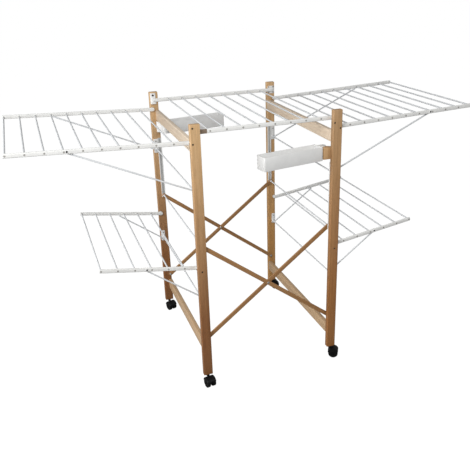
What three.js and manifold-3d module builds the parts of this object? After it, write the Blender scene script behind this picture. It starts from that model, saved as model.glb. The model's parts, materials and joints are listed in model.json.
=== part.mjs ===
// Free-standing folding clothes rack. Two wooden end frames stand on twin-wheel casters and close
// towards each other on a pair of X-braces. A wire shelf bridges the frames, two wire wings hang on
// the outside of each frame over U-shaped struts, and two small peg trays swing between the frames.
//
// Millimetres. X runs from the left frame to the right frame, Y from front to back, Z up.
// The origin is on the floor, midway between the four posts.

import * as THREE from 'three';
import { mergeVertices } from 'three/addons/utils/BufferGeometryUtils.js';
import Module from 'manifold-3d';

const wasm = await Module();
wasm.setup();

// ---------------------------------------------------------------- driving dimensions

const GAP = 0.3;                    // clearance between pieces that touch

// end frames
const POST = { x: 268, y: 327.5, width: 36, depth: 20, bottom: 50, top: 1050 };
const INNER_FACE = POST.y - POST.depth / 2;      // the face of each post that looks at the other
const CROSSPIECE = { x: 256.5, thickness: 16 };
const TOP_CROSSPIECE = { bottom: 930, top: 973 };
const BOTTOM_CROSSPIECE = { bottom: 115, top: 160 };
const PIN_HOLE = { radius: 3.4, depth: 8.3 };

// X-braces: brace A climbs from left to right, brace B from right to left
const BRACE = { halfSpan: 258, lowZ: 194, highZ: 588, width: 16.5, thickness: 6 };
const BRACE_A_Y = 301.6;
const BRACE_B_Y = 307.9;
const BRACE_HOLE = 2.9;
const BOLT = { shaft: 2.5, head: 5, headHeight: 1.7 };
const ROLLER = { radius: 5, from: 311.4, to: 314.4 };
const ROLLER_NECK = { radius: 4, length: 2 };
const SLIDER_ROD = { radius: 3, collar: 3 };     // the collar's length, beside each brace
const CHANNEL = { width: 16, height: 6, wall: 2.5, bottom: 579, top: 851 };

// wire grilles
const RAIL = { height: 15, width: 8 };
const RUNG_RADIUS = 3;
const RUNG_END = 0.4;               // how far a rung's end stands out of its rail
const RUNG_PITCH = 60;
const PIN = { radius: 3, end: INNER_FACE + 7.5 };
const HINGE_BOSS = 7.5;

// centre shelf, hinged at the right, resting on brackets at the left
const SHELF = { railY: 309, z: 1017, pinX: 268, freeEnd: 275.5, firstRung: 56, rungs: 8 };
const FITTING = 3.9;                // thickness of the shelf's fittings on the posts
const SHELF_HINGE = { width: 30, height: 34, corner: 5 };
const SHELF_REST = { width: 22, outset: 7, rise: 29, seat: 8 };

// wings: the hinge axis runs along Y through (x, z); tilt is upwards, in degrees
const WING_RAIL_Y = 301.5;
const UPPER_WING = { x: 279, z: 980, tilt: 2.4, firstRung: 57, pitch: RUNG_PITCH, rungs: 10, length: 602 };
const LOWER_WING = { x: 279, z: 504.7, tilt: 8.5, firstRung: 49, pitch: 61, rungs: 6, length: 358 };

// U-shaped struts under the wings: each turns in two brackets and bears on the rails at reachX, reachZ
const STRUT = { radius: 3, sideY: 293.5, barEnd: 314, tipEnd: 297.2 };
const UPPER_STRUT = { x: 272, z: 803, reachX: 686.9, reachZ: 990.6 };
const LOWER_STRUT = { x: 272, z: 380, reachX: 466.9, reachZ: 524.7 };
const STRUT_BRACKET = { inside: 5.2, outside: 12, depth: 11.2, hole: 3.4, corner: 3 };
const UPPER_BRACKET = { below: 16, above: 45 };
const LOWER_BRACKET = { below: 12, above: 36 };

// peg trays, each on a vertical pin in a wooden block on the inside of a post
const TRAY = { length: 255, width: 55, height: 52, wall: 3, corner: 6, swing: 9.5 };
const TRAY_BOTTOM = { right: 859, left: 876 };
const TRAY_PIN = { x: 232, y: -288, toWall: 15, radius: 3, hole: 3.4, lug: 12, lugThickness: 3 };
const TRAY_BLOCK = { left: 224, right: 266, shoulderY: -303, clearance: 0.4 };

// casters: the axle trails behind the swivel stem
const CASTER = {
  wheelRadius: 20, wheelInside: 5.3, wheelOutside: 18, trail: 15, axle: 3, axleHole: 3.4,
  hubRadius: 13, web: 9, fenderInside: 21, fenderOutside: 23, fenderWidth: 36.6,
  neck: 6.5, stem: 4, stemTop: 61,
};
const RIM_CHAMFER = { width: 2, depth: 3 };
const FENDER_ARC = { from: 22, to: 171 };        // degrees about the axle, from the trailing side
const HOOD_WEB = { behind: 15, ahead: 7, below: 4, above: 1 };
const CASTER_HEADING = { front_left: -80, back_left: -72, front_right: -30, back_right: 0 };

// ---------------------------------------------------------------- materials

const beech = new THREE.MeshStandardMaterial({ color: 0xb98850, roughness: 0.5, metalness: 0 });
const paleBeech = new THREE.MeshStandardMaterial({ color: 0xdcc29c, roughness: 0.5, metalness: 0 });
const brownBeech = new THREE.MeshStandardMaterial({ color: 0x946839, roughness: 0.5, metalness: 0 });
const whiteWire = new THREE.MeshStandardMaterial({ color: 0xebebe8, roughness: 0.35, metalness: 0.1 });
const whitePlastic = new THREE.MeshStandardMaterial({ color: 0xf0f0ee, roughness: 0.45, metalness: 0 });
const blackPlastic = new THREE.MeshStandardMaterial({ color: 0x151515, roughness: 0.4, metalness: 0 });
const steel = new THREE.MeshStandardMaterial({ color: 0x9a9a98, roughness: 0.35, metalness: 0.9 });

// ---------------------------------------------------------------- solids

// One geometry with shared corners and no zero-area triangles.
function weld(geometry) {
  const bare = geometry.index ? geometry.toNonIndexed() : geometry.clone();
  bare.deleteAttribute('normal');
  bare.deleteAttribute('uv');
  const merged = mergeVertices(bare, 1e-4);
  const index = merged.index.array;
  const kept = [];
  for (let i = 0; i < index.length; i += 3) {
    const [a, b, c] = [index[i], index[i + 1], index[i + 2]];
    if (a !== b && b !== c && c !== a) kept.push(a, b, c);
  }
  merged.setIndex(kept);
  return merged;
}

function toSolid(geometry) {
  const welded = weld(geometry);
  return new wasm.Manifold(new wasm.Mesh({
    numProp: 3,
    vertProperties: new Float32Array(welded.attributes.position.array),
    triVerts: new Uint32Array(welded.index.array),
  }));
}

function toGeometry(solid) {
  const mesh = solid.getMesh();
  const geometry = new THREE.BufferGeometry();
  geometry.setAttribute('position', new THREE.BufferAttribute(mesh.vertProperties, 3));
  geometry.setIndex(Array.from(mesh.triVerts));
  return geometry;
}

function join(geometries) {
  return toGeometry(geometries.map(toSolid).reduce((whole, piece) => whole.add(piece)));
}

function cut(geometry, tools) {
  return toGeometry(tools.map(toSolid).reduce((rest, tool) => rest.subtract(tool), toSolid(geometry)));
}

function box(x, y, z) {
  const geometry = new THREE.BoxGeometry(x[1] - x[0], y[1] - y[0], z[1] - z[0]);
  return geometry.translate((x[0] + x[1]) / 2, (y[0] + y[1]) / 2, (z[0] + z[1]) / 2);
}

// A round bar along Y through (x, z).
function barY(radius, from, to, { x = 0, z = 0, sides = 12 } = {}) {
  const [low, high] = [Math.min(from, to), Math.max(from, to)];
  return new THREE.CylinderGeometry(radius, radius, high - low, sides).translate(x, (low + high) / 2, z);
}

function barZ(radius, from, to, { x = 0, y = 0, sides = 16 } = {}) {
  const geometry = new THREE.CylinderGeometry(radius, radius, to - from, sides).rotateX(Math.PI / 2);
  return geometry.translate(x, y, (from + to) / 2);
}

function barX(radius, from, to, { y = 0, sides = 8 } = {}) {
  const geometry = new THREE.CylinderGeometry(radius, radius, to - from, sides).rotateZ(Math.PI / 2);
  return geometry.translate((from + to) / 2, y, 0);
}

// A turned piece along Y: steps lists [radius, from, to] in order, end to end.
function turnedY(steps, sides = 10) {
  const profile = [new THREE.Vector2(0, steps[0][1])];
  for (const [radius, from, to] of steps) {
    profile.push(new THREE.Vector2(radius, from), new THREE.Vector2(radius, to));
  }
  profile.push(new THREE.Vector2(0, steps[steps.length - 1][2]));
  return weld(new THREE.LatheGeometry(profile, sides));
}

// A flat plate: an outline in the XZ plane, given thickness along Y.
function plateXZ(outline, y0, y1, curveSegments = 5) {
  const depth = Math.abs(y1 - y0);
  const geometry = new THREE.ExtrudeGeometry(outline, { depth, bevelEnabled: false, curveSegments });
  return geometry.rotateX(Math.PI / 2).translate(0, Math.max(y0, y1), 0);
}

function circlePath(radius, x = 0, y = 0) {
  return new THREE.Path().absarc(x, y, radius, 0, 2 * Math.PI, true);
}

// A bar with half-round ends from (0, 0) to (length, 0), with a pin hole at each listed place.
function linkOutline(length, width, holes, holeRadius) {
  const outline = new THREE.Shape();
  outline.absarc(0, 0, width / 2, Math.PI / 2, Math.PI * 1.5, false);
  outline.absarc(length, 0, width / 2, -Math.PI / 2, Math.PI / 2, false);
  outline.closePath();
  for (const at of holes) outline.holes.push(circlePath(holeRadius, at));
  return outline;
}

// A wire grille's rail along X, round at its hinged end and square at the other.
function railOutline(from, to) {
  const half = RAIL.height / 2;
  const outline = new THREE.Shape();
  outline.absarc(from, 0, half, Math.PI / 2, Math.PI * 1.5, false);
  outline.lineTo(to, -half);
  outline.lineTo(to, half);
  outline.closePath();
  return outline;
}

function roundedRectangle(width, height, corner) {
  const [x, y] = [width / 2 - corner, height / 2 - corner];
  const outline = new THREE.Shape();
  outline.absarc(x, y, corner, 0, Math.PI / 2, false);
  outline.absarc(-x, y, corner, Math.PI / 2, Math.PI, false);
  outline.absarc(-x, -y, corner, Math.PI, Math.PI * 1.5, false);
  outline.absarc(x, -y, corner, Math.PI * 1.5, Math.PI * 2, false);
  outline.closePath();
  return outline;
}

function piece(name, geometry, material, position = [0, 0, 0], rotation = [0, 0, 0]) {
  const mesh = new THREE.Mesh(weld(geometry), material);
  mesh.name = name;
  mesh.position.set(...position);
  mesh.rotation.set(...rotation);
  return mesh;
}

// ---------------------------------------------------------------- end frames

// A post, standing on its bottom end at (0, 0, 0). inner is the sign of the Y side with the pin holes.
function postGeometry(inner, pinPlaces) {
  const height = POST.top - POST.bottom;
  const [halfWidth, halfDepth] = [POST.width / 2, POST.depth / 2];
  const blank = box([-halfWidth, halfWidth], [-halfDepth, halfDepth], [0, height]);
  const face = inner * halfDepth;
  const holes = pinPlaces.map(([x, z]) => barY(
    PIN_HOLE.radius, face - inner * PIN_HOLE.depth, face + inner, { x: x - POST.x, z: z - POST.bottom }));
  const stemHole = barZ(CASTER.stem + GAP, -1, CASTER.stemTop - POST.bottom + GAP, { sides: 12 });
  return cut(blank, [...holes, stemHole]);
}

function crosspiece(name, { bottom, top }) {
  const half = CROSSPIECE.thickness / 2;
  const reach = INNER_FACE - GAP;
  const board = box([-half, half], [-reach, reach], [0, top - bottom]);
  return piece(name, board, paleBeech, [CROSSPIECE.x, 0, bottom]);
}

// The U-shaped channel that a brace's roller climbs, closed at its foot.
function channel(name, end) {
  const half = CHANNEL.width / 2;
  const groove = half - CHANNEL.wall;
  const back = end * (INNER_FACE - GAP);
  const front = back - end * CHANNEL.height;
  const floor = back - end * CHANNEL.wall;
  const height = CHANNEL.top - CHANNEL.bottom;
  const sorted = (a, b) => [Math.min(a, b), Math.max(a, b)];
  const blank = box([-half, half], sorted(front, back), [0, height]);
  const slot = box([-groove, groove], sorted(front - end, floor), [CHANNEL.wall, height + 1]);
  return piece(name, cut(blank, [slot]), whitePlastic, [BRACE.halfSpan, 0, CHANNEL.bottom]);
}

function strutBracket(name, end, strut, { below, above }) {
  const width = STRUT_BRACKET.inside + STRUT_BRACKET.outside;
  const outline = roundedRectangle(width, below + above, STRUT_BRACKET.corner);
  const centre = [(STRUT_BRACKET.outside - STRUT_BRACKET.inside) / 2, (above - below) / 2];
  outline.holes.push(circlePath(STRUT_BRACKET.hole, -centre[0], -centre[1]));
  const back = end * (INNER_FACE - GAP);
  const geometry = plateXZ(outline, back, back - end * STRUT_BRACKET.depth);
  return piece(name, geometry, whitePlastic, [strut.x + centre[0], 0, strut.z + centre[1]]);
}

// The bolt at a brace's lower end: head, shaft through the brace, spacer, shaft into the post.
function bracePivot(name, end, braceY) {
  const near = braceY - BRACE.thickness / 2 - GAP;
  const far = braceY + BRACE.thickness / 2 + GAP;
  const steps = [
    [BOLT.head, near - BOLT.headHeight, near],
    [BOLT.shaft, near, far],
    [BOLT.head, far, INNER_FACE - GAP],
    [BOLT.shaft, INNER_FACE - GAP, PIN.end],
  ];
  const geometry = turnedY(steps);
  if (end < 0) geometry.rotateX(Math.PI);
  return piece(name, geometry, steel, [BRACE.halfSpan, 0, BRACE.lowZ]);
}

// ---------------------------------------------------------------- wire grilles and struts

// A ladder of rungs between two rails; pins and bosses stand on the hinge axis at x = 0.
function grilleGeometry({ railY, railFrom, railTo, rungPlaces, boss }) {
  const [inside, outside] = [railY - RAIL.width / 2, railY + RAIL.width / 2];
  const pieces = [];
  for (const end of [-1, 1]) {
    pieces.push(plateXZ(railOutline(railFrom, railTo), end * inside, end * outside));
    pieces.push(barY(PIN.radius, end * (outside - 1), end * PIN.end));
    if (boss) pieces.push(barY(HINGE_BOSS, end * (outside - 1), end * (INNER_FACE - GAP), { sides: 12 }));
  }
  const reach = outside + RUNG_END;
  for (const x of rungPlaces) pieces.push(barY(RUNG_RADIUS, -reach, reach, { x, sides: 6 }));
  return join(pieces);
}

function wing(name, design) {
  const rungPlaces = Array.from({ length: design.rungs }, (_, i) => design.firstRung + i * design.pitch);
  const shape = { railY: WING_RAIL_Y, railFrom: 0, railTo: design.length, rungPlaces, boss: true };
  const tilt = THREE.MathUtils.degToRad(design.tilt);
  return piece(name, grilleGeometry(shape), whiteWire, [design.x, 0, design.z], [0, -tilt, 0]);
}

// The shelf is built with its hinge axis at x = 0 and turned round, so that it runs to the left.
function shelf(name) {
  const rungPlaces = Array.from({ length: SHELF.rungs }, (_, i) => SHELF.firstRung + i * RUNG_PITCH);
  const length = SHELF.pinX + SHELF.freeEnd;
  const shape = { railY: SHELF.railY, railFrom: 0, railTo: length, rungPlaces, boss: false };
  return piece(name, grilleGeometry(shape), whiteWire, [SHELF.pinX, 0, SHELF.z], [0, 0, Math.PI]);
}

// A strut: a cross bar along the bracket axis, and two side rods out to the wing's rails.
function strut(name, design) {
  const [run, rise] = [design.reachX - design.x, design.reachZ - design.z];
  const length = Math.hypot(run, rise);
  const pieces = [barY(STRUT.radius, -STRUT.barEnd, STRUT.barEnd)];
  for (const end of [-1, 1]) {
    pieces.push(barX(STRUT.radius, 0, length, { y: end * STRUT.sideY, sides: 10 }));
    pieces.push(barY(STRUT.radius, end * (STRUT.sideY - 1), end * STRUT.tipEnd, { x: length }));
  }
  return piece(name, join(pieces), whiteWire, [design.x, 0, design.z], [0, -Math.atan2(rise, run), 0]);
}

// ---------------------------------------------------------------- peg trays

// The tray's block: a shoulder against the post, a round nose about the pin, and the pin itself. The
// right one is wooden and the left one is moulded.
function trayBlock(name, bottom, material) {
  const low = bottom + TRAY_PIN.lugThickness + TRAY_BLOCK.clearance;
  const high = bottom + TRAY.height - TRAY_PIN.lugThickness - TRAY_BLOCK.clearance;
  const backY = -(INNER_FACE - GAP);
  const outline = new THREE.Shape();
  outline.moveTo(TRAY_BLOCK.left, backY);
  outline.lineTo(TRAY_BLOCK.right, backY);
  outline.lineTo(TRAY_BLOCK.right, TRAY_BLOCK.shoulderY);
  outline.absarc(TRAY_PIN.x, TRAY_PIN.y, TRAY_PIN.lug, 0, Math.PI, false);
  outline.closePath();
  const options = { depth: high - low, bevelEnabled: false, curveSegments: 10 };
  const body = new THREE.ExtrudeGeometry(outline, options).translate(0, 0, low);
  const { x, y, radius } = TRAY_PIN;
  const pin = barZ(radius, bottom, bottom + TRAY.height, { x, y, sides: 12 });
  return piece(name, join([body, pin]), material);
}

// The tray runs along +X from its pin at the origin: an open box with a lug above and below the block.
function tray(name, bottom) {
  const { height, wall } = TRAY;
  const extrude = (outline, depth) => new THREE.ExtrudeGeometry(outline, {
    depth, bevelEnabled: false, curveSegments: 4 });
  const middle = TRAY_PIN.toWall + TRAY.length / 2;
  const solid = roundedRectangle(TRAY.length, TRAY.width, TRAY.corner);
  const hollow = roundedRectangle(TRAY.length - 2 * wall, TRAY.width - 2 * wall, TRAY.corner - wall);
  const outer = extrude(solid, height).translate(middle, 0, 0);
  const inside = extrude(hollow, height).translate(middle, 0, wall);
  const lug = linkOutline(TRAY_PIN.toWall + 1, 2 * TRAY_PIN.lug, [0], TRAY_PIN.hole);
  const lugs = [0, height - TRAY_PIN.lugThickness].map(
    (z) => extrude(lug, TRAY_PIN.lugThickness).translate(0, 0, z));
  const geometry = cut(join([outer, ...lugs]), [inside]);
  const heading = Math.PI + THREE.MathUtils.degToRad(TRAY.swing);
  return piece(name, geometry, whitePlastic, [TRAY_PIN.x, TRAY_PIN.y, bottom], [0, 0, heading]);
}

// ---------------------------------------------------------------- casters

// The hood turns about the Z axis; the axle lies along Y at the trail distance.
function casterHood(name, position, heading) {
  const { trail, wheelRadius, web } = CASTER;
  const hub = new THREE.Shape();
  hub.absarc(trail, wheelRadius, CASTER.hubRadius, 0, 2 * Math.PI, false);
  hub.holes.push(circlePath(CASTER.axleHole, trail, wheelRadius));
  const fender = new THREE.Shape();
  const [from, to] = [FENDER_ARC.from, FENDER_ARC.to].map(THREE.MathUtils.degToRad);
  fender.absarc(trail, wheelRadius, CASTER.fenderOutside, from, to, false);
  fender.absarc(trail, wheelRadius, CASTER.fenderInside, to, from, true);
  fender.closePath();
  const half = CASTER.fenderWidth / 2;
  const neckTop = POST.bottom - GAP;
  const roof = wheelRadius + CASTER.fenderInside;
  const webBottom = wheelRadius + CASTER.hubRadius - HOOD_WEB.below;
  const webX = [trail - HOOD_WEB.behind, trail + HOOD_WEB.ahead];
  const pieces = [
    plateXZ(hub, -web / 2, web / 2),
    plateXZ(fender, -half, half, 7),
    box(webX, [-web / 2, web / 2], [webBottom, roof + HOOD_WEB.above]),
    barZ(CASTER.neck, roof, neckTop, { sides: 12 }),
    barZ(CASTER.stem, neckTop - 1, CASTER.stemTop, { sides: 10 }),
  ];
  return piece(name, join(pieces), blackPlastic, position, [0, 0, heading]);
}

// Two wheels and their axle, turned in one piece, with a chamfer on each wheel's outer rim.
function casterWheels(name, position, heading) {
  const { wheelRadius, wheelInside, wheelOutside, axle, trail } = CASTER;
  const half = [
    [axle, wheelInside], [wheelRadius, wheelInside], [wheelRadius, wheelOutside - RIM_CHAMFER.width],
    [wheelRadius - RIM_CHAMFER.depth, wheelOutside], [0, wheelOutside],
  ];
  const profile = [
    ...half.slice().reverse().map(([r, y]) => new THREE.Vector2(r, -y)),
    ...half.map(([r, y]) => new THREE.Vector2(r, y)),
  ];
  const wheels = new THREE.LatheGeometry(profile, 18).translate(trail, 0, wheelRadius);
  return piece(name, wheels, blackPlastic, position, [0, 0, heading]);
}

// ---------------------------------------------------------------- one side of the rack

// Everything of one end frame, drawn as the right one. The left one is the same group turned half a
// turn about Z, so its front and back change places.
function endFrame(side) {
  const group = new THREE.Group();
  const ends = side === 'right' ? { '-1': 'front', '1': 'back' } : { '-1': 'back', '1': 'front' };
  const turn = side === 'right' ? 0 : Math.PI;
  const braceY = side === 'right' ? BRACE_B_Y : BRACE_A_Y;
  const pinPlaces = [
    [UPPER_WING.x, UPPER_WING.z], [LOWER_WING.x, LOWER_WING.z], [BRACE.halfSpan, BRACE.lowZ]];
  if (side === 'right') pinPlaces.push([SHELF.pinX, SHELF.z]);

  for (const end of [-1, 1]) {
    const corner = `${ends[end]}_${side}`;
    const place = [POST.x, end * POST.y];
    const heading = THREE.MathUtils.degToRad(CASTER_HEADING[corner]) - turn;
    group.add(
      piece(`post_${corner}`, postGeometry(-end, pinPlaces), beech, [...place, POST.bottom]),
      channel(`slider_channel_${corner}`, end),
      strutBracket(`upper_strut_bracket_${corner}`, end, UPPER_STRUT, UPPER_BRACKET),
      strutBracket(`lower_strut_bracket_${corner}`, end, LOWER_STRUT, LOWER_BRACKET),
      bracePivot(`brace_pivot_${corner}`, end, braceY),
      casterHood(`caster_hood_${corner}`, [...place, 0], heading),
      casterWheels(`caster_wheels_${corner}`, [...place, 0], heading),
    );
  }
  group.add(
    crosspiece(`crosspiece_top_${side}`, TOP_CROSSPIECE),
    crosspiece(`crosspiece_bottom_${side}`, BOTTOM_CROSSPIECE),
    wing(`upper_wing_${side}`, UPPER_WING),
    wing(`lower_wing_${side}`, LOWER_WING),
    strut(`upper_strut_${side}`, UPPER_STRUT),
    strut(`lower_strut_${side}`, LOWER_STRUT),
    trayBlock(`tray_block_${side}`, TRAY_BOTTOM[side], side === 'right' ? beech : whitePlastic),
    tray(`tray_${side}`, TRAY_BOTTOM[side]),
  );
  group.rotation.z = turn;
  return group;
}

// ---------------------------------------------------------------- X-braces

const braceLength = Math.hypot(2 * BRACE.halfSpan, BRACE.highZ - BRACE.lowZ);
const braceAngle = Math.atan2(BRACE.highZ - BRACE.lowZ, 2 * BRACE.halfSpan);

// A brace, from its lower pivot. direction is +1 when it climbs to the right and -1 to the left.
function brace(name, y, direction) {
  const outline = linkOutline(braceLength, BRACE.width, [0, braceLength / 2, braceLength], BRACE_HOLE);
  const half = BRACE.thickness / 2;
  const geometry = plateXZ(outline, -half, half, 4);
  const angle = direction > 0 ? -braceAngle : Math.PI + braceAngle;
  return piece(name, geometry, brownBeech, [-direction * BRACE.halfSpan, y, BRACE.lowZ], [0, angle, 0]);
}

// The bolt where the two braces of one X cross.
function crossingBolt(name, end) {
  const half = BRACE.thickness / 2;
  const [near, far] = [BRACE_A_Y - half - GAP, BRACE_B_Y + half + GAP];
  const geometry = turnedY([
    [BOLT.head, near - BOLT.headHeight, near],
    [BOLT.shaft, near, far],
    [BOLT.head, far, far + BOLT.headHeight],
  ]);
  if (end < 0) geometry.rotateX(Math.PI);
  return piece(name, geometry, steel, [0, 0, (BRACE.lowZ + BRACE.highZ) / 2]);
}

// The rod through the upper ends of two braces, with a collar beside each and a roller at each end.
function sliderRod(name, x, braceY) {
  const half = BRACE.thickness / 2 + GAP;
  const far = braceY + half;
  const rollerFrom = Math.max(far, ROLLER.from - ROLLER_NECK.length);
  const neck = far < rollerFrom ? [[ROLLER_NECK.radius, far, rollerFrom]] : [];
  const collar = [BOLT.head, braceY - half - SLIDER_ROD.collar, braceY - half];
  const right = [collar, [BOLT.shaft, braceY - half, far], ...neck, [ROLLER.radius, rollerFrom, ROLLER.to]];
  const left = right.slice().reverse().map(([radius, from, to]) => [radius, -to, -from]);
  const middle = [SLIDER_ROD.radius, -collar[1], collar[1]];
  return piece(name, turnedY([...left, middle, ...right]), whiteWire, [x, 0, BRACE.highZ]);
}

// ---------------------------------------------------------------- shelf fittings

function shelfHinge(name, end) {
  const outline = roundedRectangle(SHELF_HINGE.width, SHELF_HINGE.height, SHELF_HINGE.corner);
  outline.holes.push(circlePath(PIN_HOLE.radius));
  const back = end * (INNER_FACE - GAP);
  return piece(name, plateXZ(outline, back, back - end * FITTING), whitePlastic, [SHELF.pinX, 0, SHELF.z]);
}

// The open bracket that the shelf's free end rests on: a plate on the post with a seat at its foot.
function shelfRest(name, end) {
  const back = INNER_FACE - GAP;
  const plate = back - FITTING;
  const front = SHELF.railY - RAIL.width / 2;
  const top = SHELF.z + SHELF_REST.rise;
  const seatTop = SHELF.z - RAIL.height / 2 - GAP;
  const foot = seatTop - SHELF_REST.seat;
  const profile = [
    [back, foot], [back, top], [plate, top], [plate, seatTop], [front, seatTop], [front, foot]];
  const outline = new THREE.Shape(profile.map(([y, z]) => new THREE.Vector2(z, end * y)));
  const geometry = new THREE.ExtrudeGeometry(outline, { depth: SHELF_REST.width, bevelEnabled: false });
  geometry.rotateY(-Math.PI / 2);
  return piece(name, geometry, whitePlastic, [SHELF_REST.outset - POST.x, 0, 0]);
}

// ---------------------------------------------------------------- the rack

const rack = new THREE.Group();
rack.name = 'drying_rack';
rack.add(endFrame('left'), endFrame('right'));
for (const [label, end] of [['front', -1], ['back', 1]]) {
  rack.add(
    brace(`brace_a_${label}`, end * BRACE_A_Y, 1),
    brace(`brace_b_${label}`, end * BRACE_B_Y, -1),
    crossingBolt(`brace_bolt_${label}`, end),
    shelfHinge(`shelf_hinge_${label}`, end),
    shelfRest(`shelf_rest_${label}`, end),
  );
}
rack.add(
  sliderRod('slider_rod_right', BRACE.halfSpan, BRACE_A_Y),
  sliderRod('slider_rod_left', -BRACE.halfSpan, BRACE_B_Y),
  shelf('centre_shelf'),
);

export default rack;
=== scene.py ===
"""Free-standing folding clothes rack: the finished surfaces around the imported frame.

Lengths in this file are in millimetres in the row frame and become metres where a mesh is made.
One end frame is drawn as the right one; the left one is the same drawing turned half a turn about Z.
"""

import json
import math

import bmesh
import bpy
from mathutils import Matrix, Vector

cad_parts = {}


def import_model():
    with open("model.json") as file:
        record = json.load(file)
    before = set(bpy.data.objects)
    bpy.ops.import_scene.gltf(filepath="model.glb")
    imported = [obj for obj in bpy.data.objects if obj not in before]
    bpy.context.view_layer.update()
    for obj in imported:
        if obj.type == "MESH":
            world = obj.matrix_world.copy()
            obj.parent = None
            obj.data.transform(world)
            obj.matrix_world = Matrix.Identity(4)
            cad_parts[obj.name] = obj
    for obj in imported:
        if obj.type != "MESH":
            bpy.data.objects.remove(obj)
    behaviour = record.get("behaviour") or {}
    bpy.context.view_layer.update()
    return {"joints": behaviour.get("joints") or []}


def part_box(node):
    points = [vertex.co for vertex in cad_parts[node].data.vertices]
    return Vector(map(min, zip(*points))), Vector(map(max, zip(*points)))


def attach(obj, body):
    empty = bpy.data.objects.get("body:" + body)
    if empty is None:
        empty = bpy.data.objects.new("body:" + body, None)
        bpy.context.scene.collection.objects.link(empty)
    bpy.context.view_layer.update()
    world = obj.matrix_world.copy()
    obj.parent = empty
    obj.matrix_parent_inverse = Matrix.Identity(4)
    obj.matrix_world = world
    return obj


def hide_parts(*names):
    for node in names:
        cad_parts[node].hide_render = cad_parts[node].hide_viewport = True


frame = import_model()

MM = 0.001
JOINTS = {joint["name"]: joint for joint in frame["joints"]}

# ---------------------------------------------------------------- dimensions

POST_X = (250, 286)
POST_Z = (50, 1050)
POST_INNER, POST_OUTER = 317.5, 337.5
POST_EDGE, CROSSPIECE_EDGE = 2.0, 2.2
FIT = 0.3                                # clearance between touching pieces
POST_FACE = POST_INNER - FIT             # where the fittings on a post's inner face start
PIN, PIN_REACH = 3, 7.5                  # radius, and how far a pin reaches into a post
PIN_HOLE, PIN_DEPTH = 3.4, 8.3

RAIL_HEIGHT, RAIL_WIDTH, RAIL_EDGE = 15, 8, 3.2
RUNG = 3.0
CAP_LENGTH = 5
HINGE_BOSS = 7.5
WING_RAIL_Y = 301.5
SHELF_RAIL_Y = 309
WINGS = {
    "upper": {"tilt": 2.4, "first": 57, "pitch": 60, "rungs": 10, "length": 602},
    "lower": {"tilt": 8.5, "first": 49, "pitch": 61, "rungs": 6, "length": 358},
}
SHELF = {"first": 56, "pitch": 60, "rungs": 8, "length": 543.5}
SHELF_POST_SHADOW = (56, 12)                  # where the painted shadow of the post on the shelf's rails starts and ends, from the shelf's tip

STRUT, STRUT_SIDE, STRUT_BAR, STRUT_TIP = 3, 293.5, 314, 297.2
BRACE = {"half_span": 258, "low": 194, "high": 588, "width": 16.5, "thickness": 6, "edge": 0.9}
BRACE_Y = {"a": 301.6, "b": 307.9}

TRAY = {"length": 255, "width": 55, "height": 52, "wall": 3, "corner": 6, "swing": 9.5}
TRAY_TO_WALL, TRAY_LUG, TRAY_LUG_THICKNESS = 15, 12, 3
TRAY_BLOCK_X, TRAY_BLOCK_SHOULDER, TRAY_BLOCK_EDGE = (224, 266), -303, 1.2

CASTER = {"wheel": 20, "trail": 15, "hub": 13, "web": 4.5, "neck": 6.5, "stem": 4}
BOLT = {"head": 5.0, "dome": 1.7, "shaft": 2.5}

ENDS = {"right": {-1: "front", 1: "back"}, "left": {-1: "back", 1: "front"}}
SIDES = ("left", "right")


def pivot(joint):
    """A joint's point in the row frame, in millimetres."""
    return Vector(JOINTS[joint]["pos_m"]) / MM


def corner_name(side, end):
    """The name of a side's corner at the -Y or +Y end of the right-hand drawing."""
    return f"{ENDS[side][end]}_{side}"


# ---------------------------------------------------------------- materials


def node_tree(name):
    """A new material with its node tree and its shader."""
    material = bpy.data.materials.new(name)
    material.use_nodes = True
    tree = material.node_tree
    return material, tree, tree.nodes["Principled BSDF"]


def add(tree, kind, **settings):
    """A new node whose settings are socket values or properties."""
    node = tree.nodes.new(kind)
    for key, value in settings.items():
        if key in node.inputs:
            node.inputs[key].default_value = value
        else:
            setattr(node, key, value)
    return node


def noise(tree, vector, scale, detail=3, roughness=0.5):
    """Fractal noise, 0 to 1, over a vector."""
    node = add(tree, "ShaderNodeTexNoise", Scale=scale, Detail=detail, Roughness=roughness)
    tree.links.new(vector, node.inputs["Vector"])
    return node.outputs["Fac"]


def ramp(tree, value, stops):
    """A colour ramp through (position, grey or colour) stops."""
    node = tree.nodes.new("ShaderNodeValToRGB")
    elements = node.color_ramp.elements
    while len(elements) < len(stops):
        elements.new(0.5)
    for element, (position, colour) in zip(elements, stops):
        element.position = position
        rgb = (colour, colour, colour) if isinstance(colour, (int, float)) else colour
        element.color = (*rgb, 1)
    tree.links.new(value, node.inputs["Fac"])
    return node.outputs["Color"]


def mix(tree, factor, a, b, blend="MIX"):
    """Two colours mixed. Each input is a socket or a value."""
    node = add(tree, "ShaderNodeMix", data_type="RGBA", blend_type=blend)
    for socket, value in ((node.inputs[0], factor), (node.inputs[6], a), (node.inputs[7], b)):
        if isinstance(value, bpy.types.NodeSocket):
            tree.links.new(value, socket)
        else:
            socket.default_value = (*value, 1) if isinstance(value, tuple) else value
    return node.outputs[2]


def bump(tree, shader, height, strength, distance):
    """Gives a shader the small relief of a height socket."""
    node = add(tree, "ShaderNodeBump", Strength=strength, Distance=distance)
    tree.links.new(height, node.inputs["Height"])
    tree.links.new(node.outputs["Normal"], shader.inputs["Normal"])


def object_vector(tree, scale=(1, 1, 1), turn=0.0):
    """Object coordinates turned about Y and divided by scale, so that a long scale stretches a pattern."""
    coordinates = tree.nodes.new("ShaderNodeTexCoord")
    mapping = add(tree, "ShaderNodeMapping", vector_type="TEXTURE", Rotation=(0, turn, 0), Scale=scale)
    tree.links.new(coordinates.outputs["Object"], mapping.inputs["Vector"])
    return mapping.outputs["Vector"]


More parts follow.
